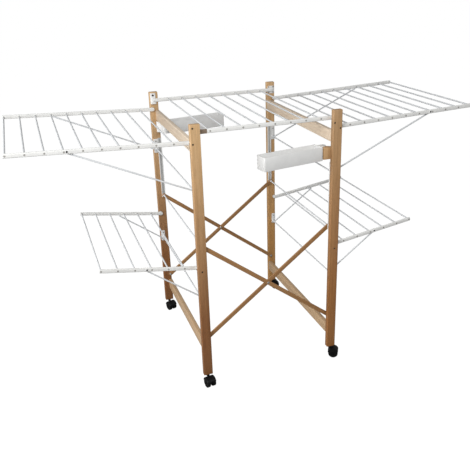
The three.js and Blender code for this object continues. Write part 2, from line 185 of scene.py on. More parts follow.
GRAIN_ALONG, GRAIN_ACROSS = 0.30, 0.010
FLECK_ALONG, FLECK_ACROSS = 0.0065, 0.0011
SHADED_BELOW, LIT_ABOVE = 0.30, 1.0      # heights in metres between which a post's tone changes: painted shade, darker below
LACQUER, LACQUER_ROUGHNESS = 0.12, 0.3
WOOD_RELIEF, COATING_RELIEF = 0.35, 0.3


def painted_shade_by_height(tree):
    """0 at a post's foot to 1 at its top, for painted shade that darkens the wood towards the floor."""
    coordinates = tree.nodes.new("ShaderNodeTexCoord")
    split = tree.nodes.new("ShaderNodeSeparateXYZ")
    tree.links.new(coordinates.outputs["Object"], split.inputs["Vector"])
    level = tree.nodes.new("ShaderNodeMapRange")
    level.inputs["From Min"].default_value = SHADED_BELOW
    level.inputs["From Max"].default_value = LIT_ABOVE
    tree.links.new(split.outputs["Z"], level.inputs["Value"])
    return level.outputs["Result"]


def wood(name, pale, dark, grain, turn=0.0, gloss=0.42, foot=None):
    """Lacquered beech: broad tone along the grain, fine streaks, and short dark flecks.

    foot is a pair of darker tones blended in towards low heights: painted shade, for light falling off
    towards the floor.
    """
    material, tree, shader = node_tree(name)
    long_scale = [GRAIN_ACROSS] * 3
    fleck_scale = [FLECK_ACROSS] * 3
    long_scale["XYZ".index(grain)] = GRAIN_ALONG
    fleck_scale["XYZ".index(grain)] = FLECK_ALONG
    along = object_vector(tree, long_scale, turn)
    short = object_vector(tree, fleck_scale, turn)
    tone = ramp(tree, noise(tree, along, 0.9, 4, 0.55), [(0.3, 0.0), (0.72, 1.0)])
    streaks = ramp(tree, noise(tree, along, 7.0, 5, 0.65), [(0.36, 0.72), (0.62, 1.0)])
    flecks = ramp(tree, noise(tree, short, 1.0, 2, 0.5), [(0.30, 0.62), (0.40, 1.0)])
    colour = mix(tree, tone, pale, dark)
    # painted shade: the tones darken towards the floor by height
    if foot:
        colour = mix(tree, painted_shade_by_height(tree), mix(tree, tone, *foot), colour)
    colour = mix(tree, 0.75, colour, streaks, "MULTIPLY")
    colour = mix(tree, 0.55, colour, flecks, "MULTIPLY")
    tree.links.new(colour, shader.inputs["Base Color"])
    gloss_map = ramp(tree, noise(tree, along, 5.0), [(0.3, gloss - 0.07), (0.7, gloss + 0.08)])
    tree.links.new(gloss_map, shader.inputs["Roughness"])
    shader.inputs["Coat Weight"].default_value = LACQUER
    shader.inputs["Coat Roughness"].default_value = LACQUER_ROUGHNESS
    bump(tree, shader, mix(tree, 0.5, streaks, flecks), WOOD_RELIEF, 0.0003)
    return material


def coated(name, base, shade, roughness, grain_scale, depth, metallic=0.0, specular=0.5):
    """A coated or moulded surface: faint cloudiness in the colour, a fine grain, uneven gloss."""
    material, tree, shader = node_tree(name)
    vector = object_vector(tree)
    cloud = ramp(tree, noise(tree, vector, 22, 4, 0.6), [(0.35, 0.0), (0.7, 1.0)])
    tree.links.new(mix(tree, cloud, base, shade), shader.inputs["Base Color"])
    gloss = ramp(tree, noise(tree, vector, 90, 3), [(0.3, roughness - 0.06), (0.7, roughness + 0.07)])
    tree.links.new(gloss, shader.inputs["Roughness"])
    shader.inputs["Metallic"].default_value = metallic
    shader.inputs["Specular IOR Level"].default_value = specular
    bump(tree, shader, noise(tree, vector, grain_scale, 2), COATING_RELIEF, depth)
    return material


BRACE_ANGLE = math.atan2(BRACE["high"] - BRACE["low"], 2 * BRACE["half_span"])
POST_PALE, POST_DARK = (0.66, 0.435, 0.225), (0.54, 0.33, 0.155)
# The foot tones are painted shade: darker wood towards the floor.
POST_SHADED_FOOT = ((0.31, 0.130, 0.041), (0.23, 0.088, 0.025))
# The right-hand posts get lit and shaded copies of the beech: the front one darker overall as painted shade,
# both with paler feet as painted light.
FRONT_RIGHT_SHADED_PALE, FRONT_RIGHT_SHADED_DARK = (0.50, 0.31, 0.155), (0.41, 0.235, 0.11)
FRONT_RIGHT_LIT_FOOT = ((0.41, 0.177, 0.048), (0.31, 0.12, 0.03))
BACK_RIGHT_LIT_FOOT = ((0.58, 0.31, 0.10), (0.44, 0.21, 0.062))
# The crosspieces' paler tones are partly their own and partly painted light on their brightly lit faces.
CROSS_LIT_PALE, CROSS_LIT_DARK = (0.90, 0.76, 0.60), (0.79, 0.63, 0.47)
# the crosspieces' foot tones are painted shade too, so the bottom board is darker than the top one
CROSS_SHADED_FOOT = ((0.56, 0.39, 0.23), (0.46, 0.30, 0.165))
BRACE_PALE, BRACE_DARK = (0.43, 0.228, 0.09), (0.30, 0.143, 0.05)

MATERIALS = {
    "post": wood("beech_post", POST_PALE, POST_DARK, "Z", foot=POST_SHADED_FOOT),
    # the right-hand posts' own materials are lit and shaded copies of the beech: painted light and shade
    "post_front_right": wood("beech_post_front_right_painted_shade", FRONT_RIGHT_SHADED_PALE, FRONT_RIGHT_SHADED_DARK, "Z",
                             foot=FRONT_RIGHT_LIT_FOOT),
    "post_back_right": wood("beech_post_back_right_painted_light", POST_PALE, POST_DARK, "Z", foot=BACK_RIGHT_LIT_FOOT),
    "cross": wood("beech_crosspiece", CROSS_LIT_PALE, CROSS_LIT_DARK, "Y", foot=CROSS_SHADED_FOOT),
    "brace_a": wood("beech_brace_a", BRACE_PALE, BRACE_DARK, "X", -BRACE_ANGLE),
    "brace_b": wood("beech_brace_b", BRACE_PALE, BRACE_DARK, "X", BRACE_ANGLE),
    "wire": coated("white_powder_coat", (0.77, 0.77, 0.75), (0.71, 0.71, 0.695), 0.40, 1500, 0.00008),
    "rung": coated("pale_grey_wire", (0.64, 0.655, 0.67), (0.58, 0.595, 0.61), 0.38, 1500, 0.00008),
    "plastic": coated("white_moulding", (0.74, 0.74, 0.73), (0.68, 0.68, 0.67), 0.42, 900, 0.00006),
    # dark grey for welds and rung ends: painted shade where wires meet rails; on the ends partly bare metal,
    # partly painted shade
    "cap": coated("grey_joint_shade_and_ends", (0.36, 0.35, 0.33), (0.28, 0.27, 0.255), 0.45, 900, 0.00006),
    # grey for a sheet of painted shade in the channels' grooves
    "shade": coated("grey_groove_shade", (0.46, 0.46, 0.45), (0.39, 0.39, 0.38), 0.5, 900, 0.00006),
    "black": coated("black_moulding", (0.003, 0.003, 0.0035), (0.006, 0.006, 0.0065), 0.42, 700, 0.00008,
                    specular=0.18),
    "tyre": coated("black_tread", (0.002, 0.002, 0.002), (0.005, 0.0048, 0.0046), 0.65, 1100, 0.00012,
                   specular=0.15),
    "steel": coated("zinc_plate", (0.50, 0.49, 0.47), (0.40, 0.39, 0.37), 0.34, 1200, 0.00005, 0.9),
    # brown for painted shadows: the ring round each wing hinge and the post's shadow across the shelf's rails
    "boss": coated("brown_painted_shadow", (0.25, 0.185, 0.13), (0.18, 0.13, 0.09), 0.5, 900, 0.00006),
    "dark": coated("dark_screw", (0.075, 0.062, 0.05), (0.04, 0.033, 0.028), 0.4, 1200, 0.00005, 0.6),
}

# ---------------------------------------------------------------- meshes


def rounded(bm, radius, segments=3, sharp=40):
    """Rounds every edge whose faces meet at more than sharp degrees."""
    bmesh.ops.recalc_face_normals(bm, faces=bm.faces)
    limit = math.radians(sharp)
    edges = [edge for edge in bm.edges if edge.is_manifold and edge.calc_face_angle(0) > limit]
    bmesh.ops.bevel(bm, geom=edges, offset=radius, segments=segments, profile=0.5, affect="EDGES",
                    clamp_overlap=True)
    return bm


def slab(x, y, z, edge=0.0, segments=3):
    """A block from three spans, with its edges rounded if edge is given."""
    bm = bmesh.new()
    spans = [sorted(span) for span in (x, y, z)]
    size = [high - low for low, high in spans]
    middle = [(low + high) / 2 for low, high in spans]
    bmesh.ops.create_cube(bm, size=1, matrix=Matrix.Translation(middle) @ Matrix.Diagonal((*size, 1)))
    return rounded(bm, edge, segments) if edge else bm


def prism(outline, low, high, plane="XZ", edge=0.0, segments=2):
    """A flat outline given thickness: in XZ it is thick along Y, in XY along Z."""
    bm = bmesh.new()
    spot = (lambda u, v, w: (u, w, v)) if plane == "XZ" else (lambda u, v, w: (u, v, w))
    rings = [[bm.verts.new(spot(u, v, level)) for u, v in outline] for level in (low, high)]
    count = len(outline)
    for i in range(count):
        j = (i + 1) % count
        bm.faces.new((rings[0][i], rings[0][j], rings[1][j], rings[1][i]))
    for ring in rings:
        bm.faces.new(ring)
    return rounded(bm, edge, segments) if edge else bm


def arc(x, y, radius, start, end, steps=12):
    """Points from start to end degrees, both included."""
    angles = [math.radians(start + (end - start) * i / steps) for i in range(steps + 1)]
    return [(x + radius * math.cos(a), y + radius * math.sin(a)) for a in angles]


def rounded_rectangle(length, width, corner, inset, steps=6):
    """A rectangle's outline about the origin, drawn in by inset, with round corners."""
    half_length, half_width = length / 2 - inset, width / 2 - inset
    radius = max(corner - inset, 0.6)
    points = []
    for (x, y), start in (((half_length - radius, half_width - radius), 0),
                          ((-half_length + radius, half_width - radius), 90),
                          ((-half_length + radius, -half_width + radius), 180),
                          ((half_length - radius, -half_width + radius), 270)):
        points += arc(x, y, radius, start, start + 90, steps)
    return points


def loft(loops):
    """A closed skin over loops of equally many points."""
    bm = bmesh.new()
    rings = [[bm.verts.new(point) for point in loop] for loop in loops]
    count = len(rings[0])
    for low, high in zip(rings, rings[1:]):
        for i in range(count):
            j = (i + 1) % count
            bm.faces.new((low[i], low[j], high[j], high[i]))
    bm.faces.new(rings[0])
    bm.faces.new(rings[-1])
    bmesh.ops.recalc_face_normals(bm, faces=bm.faces)
    return bm


AXES = {
    "X": lambda along, u, v: (along, u, v),
    "Y": lambda along, u, v: (u, along, v),
    "Z": lambda along, u, v: (u, v, along),
}


def turned(profile, axis="Y", at=(0, 0), sides=24):
    """A turned solid: profile lists (radius, place along the axis). at is the axis's place in the plane."""
    loops = []
    for radius, along in profile:
        radius = max(radius, 0.02)
        ring = arc(at[0], at[1], radius, 0, 360 - 360 / sides, sides - 1)
        loops.append([AXES[axis](along, u, v) for u, v in ring])
    return loft(loops)


def rod(radius, low, high, axis="Y", at=(0, 0), sides=16, chamfer=0.4):
    """A round bar with chamfered ends."""
    return turned([(radius - chamfer, low), (radius, low + chamfer), (radius, high - chamfer),
                   (radius - chamfer, high)], axis, at, sides)


def domed_head(face, out, radius, height, axis="Y", at=(0, 0), sides=20):
    """A domed screw or bolt head standing out of a face."""
    steps = [(1.0, 0.0), (1.0, 0.25), (0.9, 0.6), (0.66, 0.88), (0.34, 0.98), (0.0, 1.0)]
    return turned([(radius * r, face + out * height * h) for r, h in steps], axis, at, sides)


def moved(bm, matrix):
    """A solid put in place by a matrix."""
    bmesh.ops.transform(bm, matrix=matrix, verts=bm.verts)
    return bm


def mirrored(bm):
    """The same solid on the other side of Y = 0."""
    moved(bm, Matrix.Diagonal((1, -1, 1, 1)))
    bmesh.ops.reverse_faces(bm, faces=bm.faces)
    return bm


def for_end(end, bm):
    """Solids are drawn for the +Y end; the -Y end has their mirror image."""
    return bm if end > 0 else mirrored(bm)


def mesh_object(name, solids, side):
    """One mesh object from solids in millimetres. The left side's drawing is turned half a turn."""
    mesh = bpy.data.meshes.new(name)
    whole = bmesh.new()
    for solid in solids:
        part = bpy.data.meshes.new("part")
        solid.to_mesh(part)
        solid.free()
        whole.from_mesh(part)
        bpy.data.meshes.remove(part)
    turn = Matrix.Rotation(math.pi, 4, "Z") if side == "left" else Matrix.Identity(4)
    bmesh.ops.transform(whole, matrix=Matrix.Scale(MM, 4) @ turn, verts=whole.verts)
    bmesh.ops.recalc_face_normals(whole, faces=whole.faces)
    whole.to_mesh(mesh)
    whole.free()
    thing = bpy.data.objects.new(name, mesh)
    bpy.context.scene.collection.objects.link(thing)
    return thing


SMOOTH_ANGLE = math.radians(38)


def finish(thing, material, body, replaced=()):
    """Gives an object its material, the body it rides on and the CAD nodes it stands for."""
    thing.data.materials.clear()
    thing.data.materials.append(MATERIALS[material])
    thing.data.shade_smooth()
    thing.data.set_sharp_from_angle(angle=SMOOTH_ANGLE)
    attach(thing, body)
    if replaced:
        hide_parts(*replaced)
    return thing


def piece(name, solids, material, body, side="right", replaced=()):
    """One finished visible piece from solids."""
    return finish(mesh_object(name, solids, side), material, body, replaced)


def drilled(thing, cutters, side):
    """The object, with the cutters cut out of its mesh."""
    tool = mesh_object("cutter", cutters, side)
    boolean = thing.modifiers.new("holes", "BOOLEAN")
    boolean.operation = "DIFFERENCE"
    boolean.solver = "EXACT"
    boolean.use_self = True
    boolean.object = tool
    bpy.context.view_layer.update()
    evaluated = thing.evaluated_get(bpy.context.evaluated_depsgraph_get())
    cut_mesh = bpy.data.meshes.new_from_object(evaluated)
    thing.modifiers.remove(boolean)
    old = thing.data
    thing.data = cut_mesh
    bpy.data.meshes.remove(old)
    bpy.data.objects.remove(tool)
    return thing


# ---------------------------------------------------------------- end frames

SCREW_WELL, SCREW_WELL_DEPTH = 3.6, 2.2
SCREW_HEAD, SCREW_SOCKET, SCREW_SUNK = 3.1, 1.6, 0.7
WELL_PLACES = {                          # (x, z) of the screw wells in the outer faces of a side's posts
    "left": [(277, 1037), (278, 982), (270, 501)],
    "right": [(256, 1003), (279, 982), (270, 501)],
}
PIN_PLACES = ["upper_wing_right_fold", "lower_wing_right_fold", "right_frame_pivot"]
STEM_HOLE, STEM_HOLE_DEPTH = 4.6, 12
CUT_OVER = 2                             # how far a cutter runs out of the solid it cuts


def screw_in_well(x, z):
    """A screw head with a hexagon socket, sunk in its well in the outer face."""
    top, bottom = POST_OUTER - SCREW_SUNK, POST_OUTER - SCREW_WELL_DEPTH + 0.05
    profile = [(SCREW_HEAD, bottom), (SCREW_HEAD, top - 0.4), (SCREW_HEAD - 0.4, top), (SCREW_SOCKET, top)]
    head = turned(profile, "Y", (x, z), 18)
    socket = turned([(SCREW_SOCKET, top - 0.02), (SCREW_SOCKET - 0.1, top - 1.0)], "Y", (x, z), 6)
    return [head, socket]


def post(side, end):
    """A post with its screw wells, pin holes and caster hole, and the screws in the wells."""
    corner = corner_name(side, end)
    wood_block = slab(POST_X, (POST_INNER, POST_OUTER), POST_Z, POST_EDGE)
    holes = [rod(SCREW_WELL, POST_OUTER - SCREW_WELL_DEPTH, POST_OUTER + CUT_OVER, at=place, sides=24)
             for place in WELL_PLACES[side]]
    pins = [(pivot(name).x, pivot(name).z) for name in PIN_PLACES]
    if side == "right":
        pins.append((pivot("shelf_lift").x, pivot("shelf_lift").z))
    holes += [rod(PIN_HOLE, POST_INNER - CUT_OVER, POST_INNER + PIN_DEPTH, at=place, sides=24)
              for place in pins]
    post_middle = ((POST_X[0] + POST_X[1]) / 2, (POST_INNER + POST_OUTER) / 2)
    stem_hole = rod(STEM_HOLE, POST_Z[0] - 3, POST_Z[0] + STEM_HOLE_DEPTH, "Z", post_middle)
    thing = mesh_object(f"post_{corner}_wood", [for_end(end, wood_block)], side)
    drilled(thing, [for_end(end, hole) for hole in [*holes, stem_hole]], side)
    # the right-hand posts take their own lit or shaded copy of the beech: painted light and shade
    tone = f"post_{corner}" if side == "right" else "post"
    finish(thing, tone, f"{side}_frame", [f"post_{corner}"])
    screws = [for_end(end, part) for place in WELL_PLACES[side] for part in screw_in_well(*place)]
    piece(f"post_{corner}_screws", screws, "dark", f"{side}_frame", side)


def crosspieces(side):
    """The two boards between a side's posts."""
    for level in ("top", "bottom"):
        node = f"crosspiece_{level}_{side}"
        low, high = (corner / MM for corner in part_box(node))
        x = sorted((abs(low.x), abs(high.x)))
        board = slab(x, (low.y, high.y), (low.z, high.z), CROSSPIECE_EDGE)
        piece(f"{node}_wood", [board], "cross", f"{side}_frame", side, [node])


CHANNEL_HALF, CHANNEL_DEPTH, CHANNEL_WALL, CHANNEL_EDGE = 8, 6, 2.5, 0.7
CHANNEL_SCREW_LOW, CHANNEL_SCREW_HIGH = 150, 12      # from the channel's foot, and from its top
GROOVE_SHADE_INSET = 0.2


def slider_channel(side, end):
    """A white U channel: rounded lips, a closed foot and two screws in the groove's floor."""
    node = f"slider_channel_{corner_name(side, end)}"
    low, high = (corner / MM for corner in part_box(node))
    x = BRACE["half_span"]
    back, front = POST_FACE, POST_FACE - CHANNEL_DEPTH
    floor = back - CHANNEL_WALL
    groove = CHANNEL_HALF - CHANNEL_WALL
    section = [(-CHANNEL_HALF, back), (CHANNEL_HALF, back), (CHANNEL_HALF, front), (groove, front),
               (groove, floor), (-groove, floor), (-groove, front), (-CHANNEL_HALF, front)]
    section = [(x + u, v) for u, v in section]
    body = prism(section, low.z + CHANNEL_WALL, high.z, "XY", CHANNEL_EDGE)
    foot = slab((x - CHANNEL_HALF, x + CHANNEL_HALF), (front, back), (low.z, low.z + CHANNEL_WALL + 0.6),
                CHANNEL_EDGE)
    piece(f"{node}_track", [for_end(end, body), for_end(end, foot)], "plastic", f"{side}_frame", side, [node])
    # A grey sheet on the groove's floor: painted shade in the groove.
    groove_shade = slab((x - groove + GROOVE_SHADE_INSET, x + groove - GROOVE_SHADE_INSET), (floor - GROOVE_SHADE_INSET, floor + GROOVE_SHADE_INSET),
                  (low.z + 3, high.z - 0.4))
    piece(f"{node}_lining", [for_end(end, groove_shade)], "shade", f"{side}_frame", side)
    screws = [domed_head(floor, -1, 2.8, 0.25, at=(x, z))
              for z in (low.z + CHANNEL_SCREW_LOW, high.z - CHANNEL_SCREW_HIGH)]
    piece(f"{node}_screws", [for_end(end, screw) for screw in screws], "steel", f"{side}_frame", side)


BRACKET = {"depth": 11.2, "boss_stands": 5.5, "corner": 3.0, "screw_below_top": 9}


def strut_bracket(side, end, level):
    """A white block on the post with a bored boss for the strut's bar and a screw above it."""
    node = f"{level}_strut_bracket_{corner_name(side, end)}"
    low, high = (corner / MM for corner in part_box(node))
    x = sorted((abs(low.x), abs(high.x)))
    axis = pivot(f"{level}_strut_right_fold")
    front, back = POST_FACE - BRACKET["depth"], POST_FACE
    face = front + BRACKET["boss_stands"]
    outline = [((x[0] + x[1]) / 2 + u, (low.z + high.z) / 2 + v)
               for u, v in rounded_rectangle(x[1] - x[0], high.z - low.z, BRACKET["corner"], 0, 5)]
    plate = prism(outline, face, back, edge=0.8)
    boss = turned([(5.1, back - 1), (5.1, front + 0.8), (4.5, front + 0.1), (3.5, front + 0.1)],
                  at=(axis.x, axis.z))
    thing = mesh_object(f"{node}_block", [for_end(end, plate), for_end(end, boss)], side)
    bore = rod(PIN_HOLE, front - CUT_OVER, back + CUT_OVER, at=(axis.x, axis.z), sides=24)
    drilled(thing, [for_end(end, bore)], side)
    finish(thing, "plastic", f"{side}_frame", [node])
    screw = domed_head(face, -1, 3.4, 1.4, at=((x[0] + x[1]) / 2, high.z - BRACKET["screw_below_top"]))
    piece(f"{node}_screw", [for_end(end, screw)], "steel", f"{side}_frame", side)


def brace_pivot(side, end):
    """The bolt at a brace's lower end, with its spacer and shaft."""
    node = f"brace_pivot_{corner_name(side, end)}"
    y = BRACE_Y["b" if side == "right" else "a"]
    half = BRACE["thickness"] / 2 + FIT
    at = (BRACE["half_span"], BRACE["low"])
    head = domed_head(y - half, -1, BOLT["head"], BOLT["dome"], at=at)
    shaft = rod(BOLT["shaft"], y - half, POST_INNER + PIN_REACH, at=at)
    spacer = rod(BOLT["head"], y + half, POST_FACE, at=at, sides=24)
    parts = [for_end(end, part) for part in (head, shaft, spacer)]
    piece(f"{node}_bolt", parts, "steel", f"{side}_frame", side, [node])


# ---------------------------------------------------------------- wire grilles

RUNG_END_HEIGHT = 0.4


def rail(length, y_inside, y_outside):
    """A rail along X with rounded long edges, half-round at the hinge, plugged at the tip."""
    half, seam = RAIL_HEIGHT / 2, length - CAP_LENGTH
    outline = arc(0, 0, half, 90, 270, 14) + [(seam, -half), (seam, half)]
    body = prism(outline, y_inside, y_outside)
    bmesh.ops.recalc_face_normals(body, faces=body.faces)
    edges = [edge for edge in body.edges
             if edge.calc_face_angle(0) > math.radians(60) and min(v.co.x for v in edge.verts) < seam - 1]
    bmesh.ops.bevel(body, geom=edges, offset=RAIL_EDGE, segments=4, profile=0.5, affect="EDGES",
                    clamp_overlap=True)
    return body


def rail_cap(length, y_inside, y_outside):
    """The moulded plug that closes a rail's tip."""
    inset, middle = 0.25, (y_inside + y_outside) / 2
    seam = length - CAP_LENGTH + inset
    sections = [(seam, inset + 0.4), (seam, inset), (length - 1.4, inset), (length - 0.4, inset + 0.5),
                (length, inset + 1.5)]
    return loft([[(x, middle + u, v) for u, v in rounded_rectangle(
        y_outside - y_inside, RAIL_HEIGHT, RAIL_EDGE, shrink, 5)] for x, shrink in sections])


def rung(x, y_inside, y_outside):
    """One wire, a flared weld where it meets each rail, and its peened end on the rail's outside. Welds and
    ends are dark grey: painted shade at the joints, and on the ends bare metal with painted shade.
    """
    wire = turned([(RUNG, -y_inside - 0.5), (RUNG, y_inside + 0.5)], at=(x, 0), sides=14)
    welds, ends = [], []
    for end in (-1, 1):
        welds.append(turned([(RUNG, end * (y_inside - 3.0)), (RUNG + 0.25, end * (y_inside - 1.6)),
                             (RUNG + 0.9, end * (y_inside - 0.3)), (RUNG + 1.1, end * (y_inside + 0.4))],
                            at=(x, 0), sides=14))
        ends.append(domed_head(end * (y_outside - 0.15), end, RUNG + 0.55, RUNG_END_HEIGHT + 0.15,
                               at=(x, 0), sides=14))
    return [wire], welds + ends


def grille(name, node, body, design, rail_y, place, side, sockets=()):
    """A rung ladder along +X from its hinge, put in place by a matrix."""
    y_inside, y_outside = rail_y - RAIL_WIDTH / 2, rail_y + RAIL_WIDTH / 2
    length = design["length"]
    rails, caps, wires, studs = [], [], [], []
    for end in (-1, 1):
        rails.append(for_end(end, rail(length, y_inside, y_outside)))
        caps.append(for_end(end, rail_cap(length, y_inside, y_outside)))
    for i in range(design["rungs"]):
        x = min(design["first"] + i * design["pitch"], length - CAP_LENGTH - 1)
        wire, stud = rung(x, y_inside, y_outside)
        wires += wire
        studs += stud
    # the studs take the dark grey cap finish: painted shade at the welds, and on the rung ends bare metal
    # with painted shade
    for label, solids, material, replaced in (
            ("rails", rails, "wire", [node]), ("caps", caps, "plastic", []), ("rungs", wires, "rung", []),
            ("studs", studs, "cap", [])):
        piece(f"{name}_{label}", [moved(solid, place) for solid in solids], material, body, side, replaced)
    if sockets:
        rings = [moved(solid, place) for solid in socket_rings(sockets, y_outside)]
        piece(f"{name}_socket_rings", rings, "plastic", body, side)
        plugs = [moved(solid, place) for solid in socket_plugs(sockets, y_outside)]
        piece(f"{name}_socket_plugs", plugs, "black", body, side)


SOCKET_RING, SOCKET_BORE = 6.0, 3.3


def socket_rings(places, y_outside):
    """White grommets on the rails' outsides, where the strut's hooks come through."""
    profile = [(SOCKET_BORE, y_outside - 0.3), (SOCKET_RING, y_outside - 0.3),
               (SOCKET_RING, y_outside + 0.7), (SOCKET_RING - 0.6, y_outside + 1.2),
               (SOCKET_BORE + 0.5, y_outside + 1.2), (SOCKET_BORE, y_outside + 0.8),
               (SOCKET_BORE, y_outside - 0.3)]
    return [for_end(end, turned(profile, at=(x, 0))) for x in places for end in (-1, 1)]


def socket_plugs(places, y_outside):
    """The dark hooks' ends inside the grommets."""
    return [for_end(end, domed_head(y_outside, 1, SOCKET_BORE + 0.05, 0.9, at=(x, 0)))
            for x in places for end in (-1, 1)]


def hinge_bosses(rail_y):
    """The white bushes between a wing's rails and the washers."""
    outside = rail_y + RAIL_WIDTH / 2
    profile = [(HINGE_BOSS - 0.8, outside - 1), (HINGE_BOSS, outside + 0.6), (HINGE_BOSS, POST_FACE - 3.8),
               (HINGE_BOSS - 0.6, POST_FACE - 3.1)]
    return [for_end(end, turned(profile, at=(0, 0), sides=28)) for end in (-1, 1)]


def post_shadow_band(x, y_inside, y_outside):
    """A dark band round a rail, from x[0] to x[1] along it: painted shadow of a post."""
    stand = 0.35
    half_width, half_height = (y_outside - y_inside) / 2 + stand, RAIL_HEIGHT / 2 + stand
    middle = (y_inside + y_outside) / 2
    loops = []
    for at, shrink in ((x[0], 0.3), (x[0] + 0.5, 0), (x[1] - 0.5, 0), (x[1], 0.3)):
        outline = rounded_rectangle(2 * half_width, 2 * half_height, RAIL_EDGE + stand, shrink)
        loops.append([(at, middle + u, v) for u, v in outline])
    return loft(loops)


def hinge_washers():
    """Washers between a wing's bushes and the posts, brown as painted shadow round the hinge."""
    profile = [(7.4, POST_FACE - 3.0), (7.45, POST_FACE - 2.6), (7.45, POST_FACE - 0.4), (7.2, POST_FACE)]
    return [for_end(end, turned(profile, sides=28)) for end in (-1, 1)]


def hinge_pins(low):
    """The pins that reach from y = low into the posts."""
    return [for_end(end, rod(PIN, low, POST_INNER + PIN_REACH)) for end in (-1, 1)]


def tilted(point, degrees):
    """Places a drawing along +X at a point, tilted upwards."""
    return Matrix.Translation(point) @ Matrix.Rotation(-math.radians(degrees), 4, "Y")


def strut_geometry(level):
    """The strut's pivot, length and slope, from its joint and its CAD box."""
    axis = pivot(f"{level}_strut_right_fold")
    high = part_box(f"{level}_strut_right")[1] / MM
    run, rise = high.x - STRUT - axis.x, high.z - STRUT - axis.z
    return axis, math.hypot(run, rise), math.degrees(math.atan2(rise, run))


def socket_place(level):
    """How far along the wing the strut's hooks meet it."""
    axis, length, slope = strut_geometry(level)
    hinge = pivot(f"{level}_wing_right_fold")
    tip = Vector((axis.x + length * math.cos(math.radians(slope)), 0,
                  axis.z + length * math.sin(math.radians(slope))))
    return (tip - hinge).length


def wing(side, level):
    """A wing grille with its bushes, washers and pins."""
    node = f"{level}_wing_{side}"
    body = f"{node}_body"
    design = WINGS[level]
    place = tilted(pivot(f"{level}_wing_right_fold"), design["tilt"])
    grille(node, node, body, design, WING_RAIL_Y, place, side, [socket_place(level)])
    piece(f"{node}_bushes", [moved(s, place) for s in hinge_bosses(WING_RAIL_Y)], "plastic", body, side)
    # brown washers: painted shadow round the hinge
    piece(f"{node}_washers", [moved(s, place) for s in hinge_washers()], "boss", body, side)
    piece(f"{node}_pins", [moved(pin, place) for pin in hinge_pins(POST_INNER - 1)], "steel", body, side)


def shelf():
    """The shelf's drawing runs along +X from its hinge, so it is turned round to run to the left."""
    place = Matrix.Translation(pivot("shelf_lift")) @ Matrix.Rotation(math.pi, 4, "Z")
    grille("centre_shelf", "centre_shelf", "shelf", SHELF, SHELF_RAIL_Y, place, "right")
    y_inside, y_outside = SHELF_RAIL_Y - RAIL_WIDTH / 2, SHELF_RAIL_Y + RAIL_WIDTH / 2
    # a dark band on the rails beside the post: painted shadow of the post
    shadow_band_solid = post_shadow_band([SHELF["length"] - from_tip for from_tip in SHELF_POST_SHADOW], y_inside, y_outside)
    piece("centre_shelf_post_shadow", [moved(shadow_band_solid, place)], "boss", "shelf")
    pins = hinge_pins(y_outside - 1)
    piece("centre_shelf_pins", [moved(pin, place) for pin in pins], "steel", "shelf")


def strut(side, level):
    """A cross bar in the brackets, two side rods welded to it, and their hooked tips."""
    node = f"{level}_strut_{side}"
    axis, length, slope = strut_geometry(level)
    place = tilted(axis, slope)
    bar = rod(STRUT, -STRUT_BAR, STRUT_BAR, sides=18)
    rods = []
    for end in (-1, 1):
        side_rod = turned([(STRUT, 0), (STRUT, length - 0.2), (STRUT * 0.87, length + STRUT * 0.5),
                           (STRUT * 0.5, length + STRUT * 0.86), (0, length + STRUT)],
                          "X", (end * STRUT_SIDE, 0), 18)
        hook = turned([(STRUT, end * (STRUT_SIDE - 0.5)), (STRUT, end * (STRUT_TIP - 0.6)),
                       (STRUT - 0.5, end * STRUT_TIP)], at=(length, 0), sides=18)
        weld = turned([(STRUT, end * (STRUT_SIDE - 6)), (STRUT + 0.6, end * (STRUT_SIDE - 4)),
                       (STRUT + 0.8, end * STRUT_SIDE), (STRUT + 0.6, end * (STRUT_SIDE + 4)),
                       (STRUT, end * (STRUT_SIDE + 6))], sides=18)
        rods += [side_rod, hook, weld]
    piece(f"{node}_rods", [moved(s, place) for s in [bar, *rods]], "rung", f"{node}_body", side, [node])


# ---------------------------------------------------------------- peg trays


def tray_place(side):
    """The matrix that puts a tray's drawing on its pin, swung a little at rest."""
    point = pivot("tray_right_swing")
    point.z = pivot(f"tray_{side}_swing").z
    return Matrix.Translation(point) @ Matrix.Rotation(math.pi + math.radians(TRAY["swing"]), 4, "Z")


def tray(side):
    """An open box with a rounded rim and a lug above and below the block."""
    height, wall = TRAY["height"], TRAY["wall"]
    skin = [(1.6, 0), (0.5, 0.4), (0, 1.6), (0, height - 1.0), (0.3, height - 0.3), (1.0, height),
            (wall - 1.0, height), (wall - 0.3, height - 0.3), (wall, height - 1.0), (wall, wall + 2.2),
            (wall + 0.7, wall + 0.6), (wall + 2.2, wall)]
    middle = TRAY_TO_WALL + TRAY["length"] / 2
    shell = loft([[(x + middle, y, z) for x, y in rounded_rectangle(
        TRAY["length"], TRAY["width"], TRAY["corner"], inset)] for inset, z in skin])
    solids = [shell]
    for z in (0.0, height - TRAY_LUG_THICKNESS):
        outline = arc(0, 0, TRAY_LUG, 90, 270, 16)
        outline += [(TRAY_TO_WALL + 1, -TRAY_LUG), (TRAY_TO_WALL + 1, TRAY_LUG)]
        solids.append(prism(outline, z, z + TRAY_LUG_THICKNESS, "XY", 0.7))
    place = tray_place(side)
    thing = mesh_object(f"tray_{side}_shell", [moved(solid, place) for solid in solids], side)
    bore = moved(rod(PIN_HOLE, -CUT_OVER, height + CUT_OVER, "Z", sides=24), place)
    drilled(thing, [bore], side)
    finish(thing, "plastic", f"tray_{side}_body", [f"tray_{side}"])


